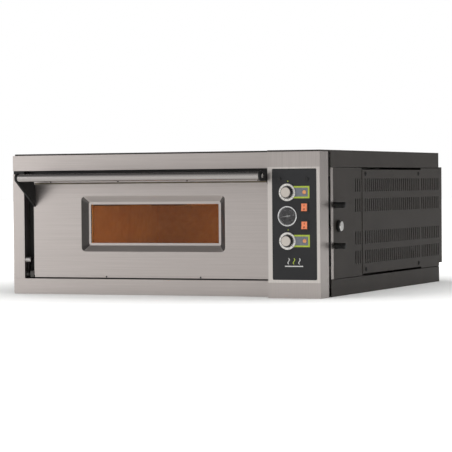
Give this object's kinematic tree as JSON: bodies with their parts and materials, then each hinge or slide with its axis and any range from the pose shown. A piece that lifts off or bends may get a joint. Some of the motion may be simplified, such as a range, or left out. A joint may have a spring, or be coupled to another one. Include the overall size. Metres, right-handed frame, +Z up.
{
  "type": "deck oven",
  "caption": "Low wide electric deck oven with a drop-down glazed front door, full-width tube handle, control column on the right and slotted dark casing.",
  "frame": {"origin": "middle of the flat underside of the casing, the face that the oven stands on", "axes": "+X to the right as the cook sees it, +Y from the front to the back, +Z up"},
  "size_m": [1.034, 1.1965, 0.413],
  "materials": {
    "casing_paint": "satin",
    "stainless": "satin",
    "black_steel": "matte",
    "panel_black": "satin",
    "black_plastic": "matte",
    "rubber": "matte",
    "dial_metal": "satin",
    "chrome": "polished",
    "gauge_dark": "matte",
    "needle_white": "satin",
    "clear_glass": "polished",
    "door_glass": "polished",
    "rocker_orange": "gloss",
    "lamp_amber": "gloss",
    "braid": "matte",
    "mineral_wool": "matte",
    "refractory": "matte",
    "ceramic": "matte",
    "liner_steel": "satin",
    "heater_tube": "matte",
    "plated_steel": "satin",
    "switchgear_grey": "matte"
  },
  "bodies": {
    "cabinet": {"base_tray": "casing_paint", "roof_cover": "casing_paint", "column_cap": "casing_paint", "left_side_panel": "casing_paint", "right_side_front": "casing_paint", "right_side_cover": "casing_paint", "right_side_rear": "casing_paint", "back_panel": "casing_paint", "rear_cover": "casing_paint", "top_fascia": "stainless", "bottom_fascia": "stainless", "left_post": "stainless", "control_column": "stainless", "corner_strips": "stainless", "door_surround": "black_steel", "column_spacer": "black_steel", "cover_screws": "black_steel", "control_panel": "panel_black", "switch_bodies": "black_plastic", "reset_caps": "black_plastic", "cable_gland": "black_plastic", "side_buffers": "rubber", "gauge_case": "chrome", "gauge_face": "gauge_dark", "gauge_glass": "clear_glass", "lamp_lens": "clear_glass", "pilot_lamps": "lamp_amber", "door_gasket": "braid", "insulation": "mineral_wool", "floor_tiles": "refractory", "element_beads": "ceramic", "chamber_lamp": "ceramic", "chamber_liner": "liner_steel", "tile_supports": "liner_steel", "heating_elements": "heater_tube", "hinge_bearings": "plated_steel", "hinge_spring": "plated_steel", "chamber_cradle": "plated_steel", "divider_panel": "plated_steel", "steam_duct": "plated_steel", "switchgear": "switchgear_grey", "thermostats": "switchgear_grey"},
    "door": {"door_skin": "stainless", "door_pan": "stainless", "door_insulation": "mineral_wool", "door_glasses": "door_glass", "glass_spacer": "plated_steel", "hinge_pins": "plated_steel", "handle_brackets": "black_steel", "handle_bar": "stainless", "handle_fixings": "plated_steel"},
    "upper_knob": {"upper_dial": "dial_metal", "upper_knob": "black_plastic"},
    "lower_knob": {"lower_dial": "dial_metal", "lower_knob": "black_plastic"},
    "upper_rocker": {"upper_rocker": "rocker_orange"},
    "lower_rocker": {"lower_rocker": "rocker_orange"},
    "thermometer_needle": {"gauge_needle": "needle_white"},
    "steam_valve": {"vent_rod": "chrome", "vent_knob": "black_plastic"}
  },
  "joints": [
    {"name": "door_hinge", "type": "hinge", "parent": "cabinet", "child": "door", "pos_m": [0, -0.503, 0.0585], "axis": [1, 0, 0], "range_deg": [0, 85], "stiffness_Nm_per_rad": 4, "springref_deg": -28.65},
    {"name": "upper_knob_turn", "type": "hinge", "parent": "cabinet", "child": "upper_knob", "pos_m": [0.4027, -0.5878, 0.2955], "axis": [0, 1, 0], "range_deg": [0, 300]},
    {"name": "lower_knob_turn", "type": "hinge", "parent": "cabinet", "child": "lower_knob", "pos_m": [0.4027, -0.5878, 0.16], "axis": [0, 1, 0], "range_deg": [0, 300]},
    {"name": "upper_rocker_tilt", "type": "hinge", "parent": "cabinet", "child": "upper_rocker", "pos_m": [0.4535, -0.5842, 0.253], "axis": [1, 0, 0], "range_deg": [0, 12]},
    {"name": "lower_rocker_tilt", "type": "hinge", "parent": "cabinet", "child": "lower_rocker", "pos_m": [0.4535, -0.5842, 0.203], "axis": [1, 0, 0], "range_deg": [0, 12]},
    {"name": "needle_sweep", "type": "hinge", "parent": "cabinet", "child": "thermometer_needle", "pos_m": [0.4027, -0.5849, 0.229], "axis": [0, 1, 0], "range_deg": [-37, 233]},
    {"name": "steam_valve_pull", "type": "slide", "parent": "cabinet", "child": "steam_valve", "axis": [1, 0, 0], "range_m": [0, 0.025]}
  ]
}
